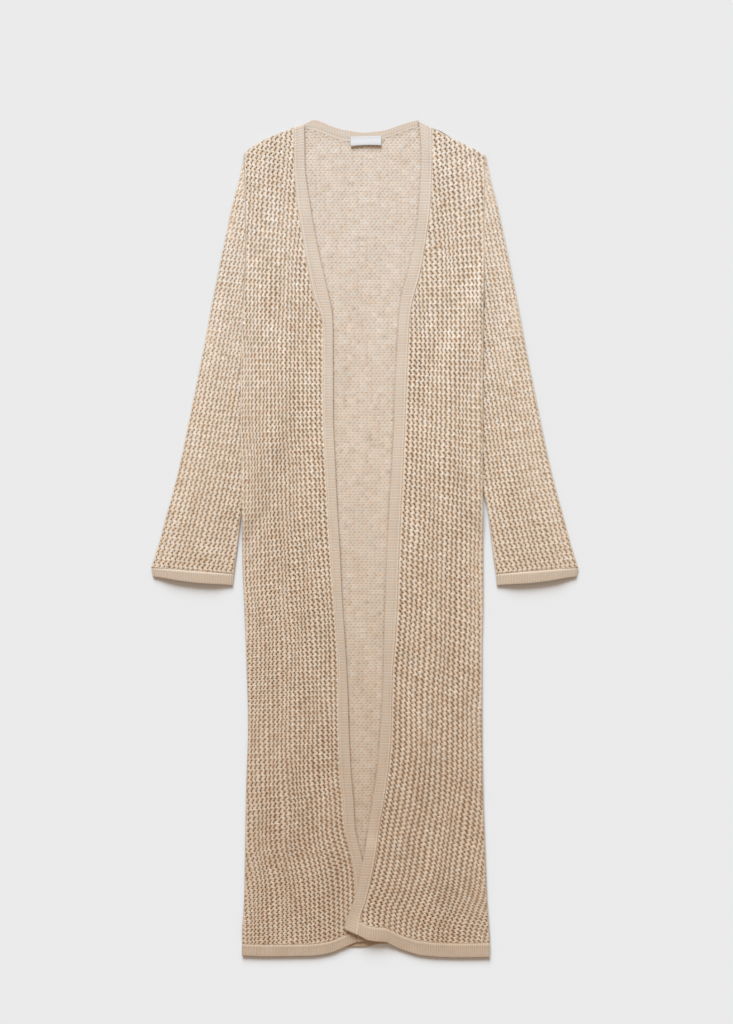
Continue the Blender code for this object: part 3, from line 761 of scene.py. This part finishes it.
# Plain knit strips. Both edges of a strip are curves, its section is flat with round edges, and
# fine ribs run along it or across it.
def sectionShare(width, wall, cells):
    # places across a section: four on each round edge, even ones between
    reach = min(0.5 * wall / width, 0.3)
    turn = np.linspace(0, 1, 4, endpoint=False)
    edge = reach * (1 - np.cos(turn * math.pi / 2))
    middle = np.linspace(reach, 1 - reach, cells + 1)
    return np.concatenate([edge, middle, 1 - edge[::-1]]), reach


def facesOutward(x, h, z, quads):
    # true where the volume inside the quads, a sum of triple products, is positive
    points = np.column_stack([x.ravel(), h.ravel(), z.ravel()])
    first, second, third, fourth = (points[quads] - points.mean(axis=0)).transpose(1, 0, 2)
    return (first * np.cross(second, third) + first * np.cross(third, fourth)).sum() > 0


def makeStrip(name, lowEdge, highEdge, wall, level, relief, shadeOf, material, cells, width):
    # a section goes from the low edge to the high one on top and back below, and its
    # thickness follows a quarter circle at both edges
    share, reach = sectionShare(width, wall, cells)
    around = np.concatenate([share, share[-2:0:-2]])
    isTop = np.arange(len(around)) < len(share)
    fromEdge = np.clip(np.minimum(around, 1 - around) / reach, 0, 1)
    swell = np.sqrt(np.clip(1 - (1 - fromEdge) ** 2, 0, 1))
    x = lowEdge[0][:, None] + (highEdge[0] - lowEdge[0])[:, None] * around
    h = lowEdge[1][:, None] + (highEdge[1] - lowEdge[1])[:, None] * around
    steps = np.hypot(np.diff(lowEdge[0] + highEdge[0]), np.diff(lowEdge[1] + highEdge[1])) / 2
    run = np.concatenate([[0], np.cumsum(steps)])[:, None] + 0 * around
    across = around * width + 0 * run
    z = level(x, h) + wall / 2 + np.where(isTop, 1.0, -1.0) * swell * wall / 2
    z = z + np.where(isTop, relief(across, run) * swell, 0.0)
    index = np.arange(x.size).reshape(x.shape)
    following = np.roll(index, -1, axis=1)
    sides = np.stack([index[:-1], following[:-1], following[1:], index[1:]], axis=-1)
    sides = sides.reshape(-1, 4)
    caps = [index[0, ::-1].tolist(), index[-1].tolist()]
    if not facesOutward(x, h, z, sides):
        sides = sides[:, ::-1]
        caps = [cap[::-1] for cap in caps]
    return makeMesh(name, x.ravel(), h.ravel(), z.ravel(), sides.tolist() + caps,
                    np.column_stack([across.ravel(), run.ravel()]), shadeOf(across, run).ravel(),
                    material)


bands = {
    "topFree": {right: 1252.0, left: 1257.5}, "endRise": {right: 2.0, left: 9.0},
    "endReach": 55.0, "stations": 560, "width": 17.0, "wale": 2.1, "course": 2.05, "relief": 0.15,
    "ribRelief": 0.35, "ribMiddle": 1.6, "shade": 0.61, "waleTone": 0.10, "ribTone": 0.12,
    "besideRib": 4.6, "besideRibTone": 0.16, "paintedEdgeShade": 0.30, "cloudTone": 0.03,
    "flat": {right: (0.020, 1.23), left: (0.024, 1.23)}, "area": {right: 0.0195, left: 0.0215},
}


def bandRelief(across, run):
    # fine wales side by side, each a row of small bumps, and a raised rib along the seam
    wales = np.cos(2 * math.pi * across / bands["wale"])
    courses = np.cos(2 * math.pi * (run / bands["course"] + 0.5 * np.round(across / bands["wale"])))
    rib = hump((across - bands["ribMiddle"]) / 1.6)
    return bands["relief"] * (wales + 0.5 * courses) + bands["ribRelief"] * rib


def bandShade(across, run):
    # paler wales and seam rib, a dotted deep line beside the rib, and painted shade along the free edge
    dots = 0.6 + 0.4 * np.cos(2 * math.pi * run / 4.1)
    return (
        bands["shade"] + bands["waleTone"] * np.cos(2 * math.pi * across / bands["wale"])
        + bands["ribTone"] * hump((across - bands["ribMiddle"]) / 1.6)
        - bands["besideRibTone"] * hump((across - bands["besideRib"]) / 1.3) * dots
        - bands["paintedEdgeShade"] * hump((across - bands["width"]) / 1.2)
        + bands["cloudTone"] * softNoise(across / 30, run / 60, 81)
    )


def makeBand(side):
    # from the seam's curve to the free edge's, with sloping ends at hem and shoulder
    edge = cloth["frontEdge"][side]
    lowSeam = read(cloth["hemEdge"][side], "h", edge["seam"][0], by="x")
    highSeam = read(cloth["shoulder"][side], "h", read(edge, "seam", 1240.0), by="x")
    h = np.linspace(lowSeam, highSeam, bands["stations"])
    toTop = smoothStep(1 - (highSeam - h) / bands["endReach"])
    toHem = smoothStep(1 - (h - h[0]) / bands["endReach"])
    freeH = h + (bands["topFree"][side] - highSeam) * toTop + bands["endRise"][side] * toHem
    seam = (read(edge, "seam", h) - side * 0.2, h)
    free = (read(edge, "free", freeH), freeH)
    name = sideNames[side]
    piece = makeStrip(
        "band_front_" + name + "_knit", seam, free, cloth["bandWall"],
        lambda x, h: frontLevel(side, x, h), bandRelief, bandShade, materials["plainKnit"], 20,
        bands["width"])
    dress(piece, ["band_front_" + name])
    return piece


for side in (right, left):
    makeBand(side)

neck = {"ends": (-89.6, 79.8), "stations": 200, "width": 14.0, "rib": 2.4, "relief": 0.08,
        "shade": 0.58, "seamTone": 0.14, "besideSeamTone": 0.10, "paintedEdgeShade": 0.35, "ribTone": 0.03,
        "flat": (0.015, 0.18)}


def neckRelief(across, run):
    # fine ribs across the band and a low ridge along its seam
    ribs = np.cos(2 * math.pi * run / neck["rib"])
    return neck["relief"] * ribs + 0.1 * hump((across - 1.5) / 1.5)


def neckShade(across, run):
    # a pale seam ridge with a deep line beside it, painted shade along the top edge, and fine ribs
    return (
        neck["shade"] + neck["seamTone"] * hump((across - 1.5) / 1.5)
        - neck["besideSeamTone"] * hump((across - 5) / 2.5)
        - neck["paintedEdgeShade"] * hump((across - neck["width"]) / 2.0)
        + neck["ribTone"] * np.cos(2 * math.pi * run / neck["rib"])
    )


def makeNeckBand():
    # from the back's top edge to the band's own top
    x = np.linspace(*neck["ends"], neck["stations"])
    low = (x, read(cloth["backTop"], "h", x, by="x") - 0.4)
    high = (x, read(cloth["neckBandTop"], "h", x, by="x"))
    piece = makeStrip("band_neck_knit", low, high, cloth["bandWall"], always(0.0), neckRelief,
                      neckShade, materials["plainKnit"], 14, neck["width"])
    dress(piece, ["band_neck"])
    return piece


makeNeckBand()

hems = {
    "rib": 3.0, "relief": 0.16, "loop": 7.4, "loopRelief": 0.25, "tuck": 0.5, "shade": 0.53,
    "ribTone": 0.08, "loopTone": 0.16, "cloudTone": 0.03, "stations": 240, "backStations": 460,
    "backEnds": (-184.2, 187.2), "flat": {right: (0.175, 0.018), left: (0.2, 0.0215)},
    "backFlat": (0.37, 0.019),
}


def makeHem(name, node, xs, edge, width, level):
    # ribs run down the hem, and a raised row of paler loops links it to the open knit above it
    low = (xs, read(edge, "h", xs, by="x"))
    high = (xs, low[1] + width - 0.2)

    def relief(across, run):
        ribs = hems["relief"] * np.cos(2 * math.pi * run / hems["rib"])
        loops = hems["loopRelief"] * hump((across - width + 2.6) / 1.8)
        return ribs + loops - hems["tuck"] * hump((across - width) / 2.2)

    def shadeOf(across, run):
        dots = 0.6 + 0.4 * np.cos(2 * math.pi * run / hems["loop"])
        return (
            hems["shade"] + hems["ribTone"] * np.cos(2 * math.pi * run / hems["rib"])
            + hems["loopTone"] * hump((across - width + 2.0) / 2.0) * dots
            + hems["cloudTone"] * softNoise(run / 30, across / 20, 91)
        )

    piece = makeStrip(name, low, high, cloth["wall"], level, relief, shadeOf,
                      materials["plainKnit"], 9, width)
    dress(piece, [node])
    return piece


for side in (right, left):
    edgeX = read(cloth["bodySides"], sideNames[side], 30.0)
    seamX = read(cloth["frontEdge"][side], "seam", 30.0)
    node = "hem_front_" + sideNames[side]
    makeHem(node + "_knit", node, np.linspace(edgeX, seamX, hems["stations"]),
            cloth["hemEdge"][side], cloth["hemWidth"][side],
            lambda x, h: frontLevel(side, x, h))
makeHem("hem_back_knit", "hem_back", np.linspace(*hems["backEnds"], hems["backStations"]),
        cloth["hemEdgeBack"], cloth["hemWidthBack"], always(0.0))
print("bands and hems knitted")

cuffs = {
    "outer": (320.0, 587.0), "inner": (196.5, 577.7), "lengthOuter": 14.0, "lengthInner": 18.0,
    "outerFlare": -0.18, "innerFlare": 0.08, "bulge": 2.5, "rib": 3.4, "relief": 0.18,
    "points": 300, "tuck": 0.35, "loopRelief": 0.35, "shade": 0.52, "ribTone": 0.05,
    "loopTone": 0.25, "paintedInsideShade": 0.15, "wall": 1.9, "flat": (0.25, 0.0165),
}


def cuffRing(drop, turn, inset):
    # a flattened ring: across the cuff by the cosine of the turn, up and down by its sine
    width = cuffs["outer"][0] - cuffs["inner"][0]
    outer = (cuffs["outer"][0] + cuffs["outerFlare"] * cuffs["lengthOuter"] * drop,
             cuffs["outer"][1] - cuffs["lengthOuter"] * drop)
    inner = (cuffs["inner"][0] + cuffs["innerFlare"] * cuffs["lengthInner"] * drop,
             cuffs["inner"][1] - cuffs["lengthInner"] * drop)
    share = 0.5 + (0.5 - inset / width) * np.cos(turn)
    x = blend(inner[0], outer[0], share)
    h = blend(inner[1], outer[1], share) - cuffs["bulge"] * drop * hump(2 * share - 1)
    room = np.minimum(share, 1 - share) * width / 32.0
    over = sleeves["folded"] + sleeves["dome"] * smoothStep(room)
    bend = np.abs(np.sin(turn)) ** 0.45
    z = np.where(np.sin(turn) > 0, 2.2 + (over - inset - 2.2) * bend, 2.2 - (2.2 - inset) * bend)
    return x, h, z


def makeCuff(side):
    # rings go down the outside, round the lower edge and up inside the cuff
    count = cuffs["points"]
    turn = np.linspace(0, 2 * math.pi, count, endpoint=False)
    turn = turn - 0.28 * np.sin(2 * turn) * 0.5
    drops = np.linspace(0.02, 0.94, 8)
    rings = [(drop, 0.0, 1.0) for drop in drops]
    rings += [(0.985, 0.25, 0.0), (1.0, 0.95, 0.0), (0.985, 1.65, 0.0)]
    rings += [(drop, cuffs["wall"], 0.0) for drop in drops[::-3]]
    drop, inset, ribbed = (column[:, None] for column in np.array(rings).T)
    across = np.cos(turn) * (cuffs["outer"][0] - cuffs["inner"][0]) / 2
    x, h, z = cuffRing(drop, turn, inset)
    rib = np.cos(2 * math.pi * across / cuffs["rib"])
    loops = hump((drop - 0.12) / 0.12) * (0.5 + 0.5 * rib)
    lift = ribbed * (cuffs["relief"] * rib + cuffs["loopRelief"] * loops)
    tucked = cuffs["tuck"] * (1 - smoothStep(drop / 0.22)) * ribbed
    z = z + np.where(np.sin(turn) > 0, lift - tucked, -0.3 * lift)
    # paler ribs and a paler row of loops near the seam; the rings inside the cuff are painted darker as
    # painted shade inside the tube
    shade = cuffs["shade"] + (cuffs["ribTone"] * rib + cuffs["loopTone"] * loops) * ribbed
    shade = shade - cuffs["paintedInsideShade"] * (1 - ribbed) * (inset > 1)
    index = np.arange(z.size).reshape(z.shape)
    index = np.vstack([index, index[:1]])
    following = np.roll(index, -1, axis=1)
    faces = np.stack([index[:-1], index[1:], following[1:], following[:-1]], axis=-1)
    faces = faces.reshape(-1, 4)
    x = side * x
    if not facesOutward(x, h, z, faces):
        faces = faces[:, ::-1]
    uv = np.column_stack([h.ravel(), np.tile(across, len(rings))])
    name = sideNames[side]
    piece = makeMesh("cuff_" + name + "_knit", x.ravel(), h.ravel(), z.ravel(), faces.tolist(), uv,
                     shade.ravel(), materials["plainKnit"])
    dress(piece, ["cuff_" + name])
    return piece


for side in (right, left):
    makeCuff(side)
print("cuffs knitted")

# The label: blank white satin, sewn on along its top edge.
label = {
    "left": -21.4, "right": 24.8, "top": 1232.5, "drop": 13.2, "turn": math.radians(1.6),
    "lift": 1.6, "sag": 1.2, "wall": 0.7, "white": (0.54, 0.533, 0.545), "flat": (0.0462, 0.0138),
}


def makeSatin():
    # fine warp threads as a bump along the cloth, with a soft gloss
    material = bpy.data.materials.new("satin")
    material.use_nodes = True
    tree = material.node_tree
    shader = tree.nodes["Principled BSDF"]
    clothUv = addNode(tree, "ShaderNodeUVMap", uv_map="cloth").outputs["UV"]
    weave = addNode(tree, "ShaderNodeTexWave", {"Vector": clothUv, "Scale": 90.0, "Distortion": 0.6},
                    wave_type="BANDS", bands_direction="X")
    cloud = addNode(tree, "ShaderNodeTexNoise", {"Vector": clothUv, "Scale": 60.0})
    ramp = addNode(tree, "ShaderNodeValToRGB", {"Fac": cloud.outputs["Fac"]})
    ramp.color_ramp.elements[0].color = (0.50, 0.495, 0.505, 1)
    ramp.color_ramp.elements[1].color = (*label["white"], 1)
    bump = addNode(tree, "ShaderNodeBump", {"Height": weave.outputs["Fac"], "Strength": 0.2,
                                            "Distance": 0.0001})
    tree.links.new(ramp.outputs["Color"], shader.inputs["Base Color"])
    tree.links.new(bump.outputs["Normal"], shader.inputs["Normal"])
    shader.inputs["Roughness"].default_value = 0.42
    shader.inputs["Specular IOR Level"].default_value = 0.4
    shader.inputs["Sheen Weight"].default_value = 0.1
    return material


def makeLabel():
    # a strip with a sagging lower edge, which lifts off the back as it drops
    x = np.linspace(label["left"], label["right"], 40)
    share = np.linspace(-1, 1, 40)
    top = label["top"] + (x - label["left"]) * math.tan(label["turn"])
    low = (x, top - label["drop"] - label["sag"] * share**2)
    high = (x, top)

    def level(x, h):
        drop = (label["top"] + (x - label["left"]) * math.tan(label["turn"]) - h) / label["drop"]
        return cloth["bandWall"] + 0.4 + label["lift"] * smoothStep(drop)
    piece = makeStrip("neck_label_satin", low, high, label["wall"], level, always(0.0), always(0.0),
                      makeSatin(), 8, label["drop"])
    dress(piece, ["neck_label"])
    return piece


makeLabel()
print("label sewn on")

# Floor, light and camera
studio = {
    "floor": (0.633, 0.633, 0.633),
    "fill": (1.0, 0.80, 0.63), "fillPower": 0.56,
    "key": (0.782, 0.900, 1.0), "keyPower": 5.97, "keyTilt": math.radians(60),
    "keyTurn": math.radians(8), "keySpread": math.radians(34),
    "cameraHeight": 5.0, "viewHeight": 1.536, "centre": (0.0026, 0.0401),
}


def makeFloor():
    mesh = bpy.data.meshes.new("floor")
    reach = 6.0
    mesh.from_pydata([(-reach, -reach, 0), (reach, -reach, 0), (reach, reach, 0), (-reach, reach, 0)],
                     [], [(0, 1, 2, 3)])
    floor = bpy.data.objects.new("floor", mesh)
    bpy.context.scene.collection.objects.link(floor)
    floor.location.z = -0.0003
    material = bpy.data.materials.new("floorPaint")
    material.use_nodes = True
    shader = material.node_tree.nodes["Principled BSDF"]
    shader.inputs["Base Color"].default_value = (*studio["floor"], 1)
    shader.inputs["Roughness"].default_value = 0.9
    shader.inputs["Specular IOR Level"].default_value = 0.1
    mesh.materials.append(material)


def makeLight():
    # one wide soft light beyond the neck, a little to the photo's left, and a pale room
    light = bpy.data.lights.new("key", "SUN")
    light.color = studio["key"]
    light.energy = studio["keyPower"]
    light.angle = studio["keySpread"]
    key = bpy.data.objects.new("key", light)
    bpy.context.scene.collection.objects.link(key)
    key.rotation_euler = (-studio["keyTilt"], 0.0, studio["keyTurn"])
    world = bpy.data.worlds.new("studio")
    bpy.context.scene.world = world
    world.use_nodes = True
    background = world.node_tree.nodes["Background"]
    background.inputs["Color"].default_value = (*studio["fill"], 1)
    background.inputs["Strength"].default_value = studio["fillPower"]


def makeCamera():
    # straight above, as the photograph was taken
    data = bpy.data.cameras.new("camera")
    camera = bpy.data.objects.new("camera", data)
    bpy.context.scene.collection.objects.link(camera)
    camera.location = (*studio["centre"], studio["cameraHeight"])
    data.sensor_width = 36.0
    data.lens = data.sensor_width * studio["cameraHeight"] / studio["viewHeight"]
    data.clip_end = 50.0
    bpy.context.scene.camera = camera


makeFloor()
makeLight()
makeCamera()
bpy.context.scene.view_settings.view_transform = "Standard"
bpy.context.scene.view_settings.look = "None"

print("scene ready")
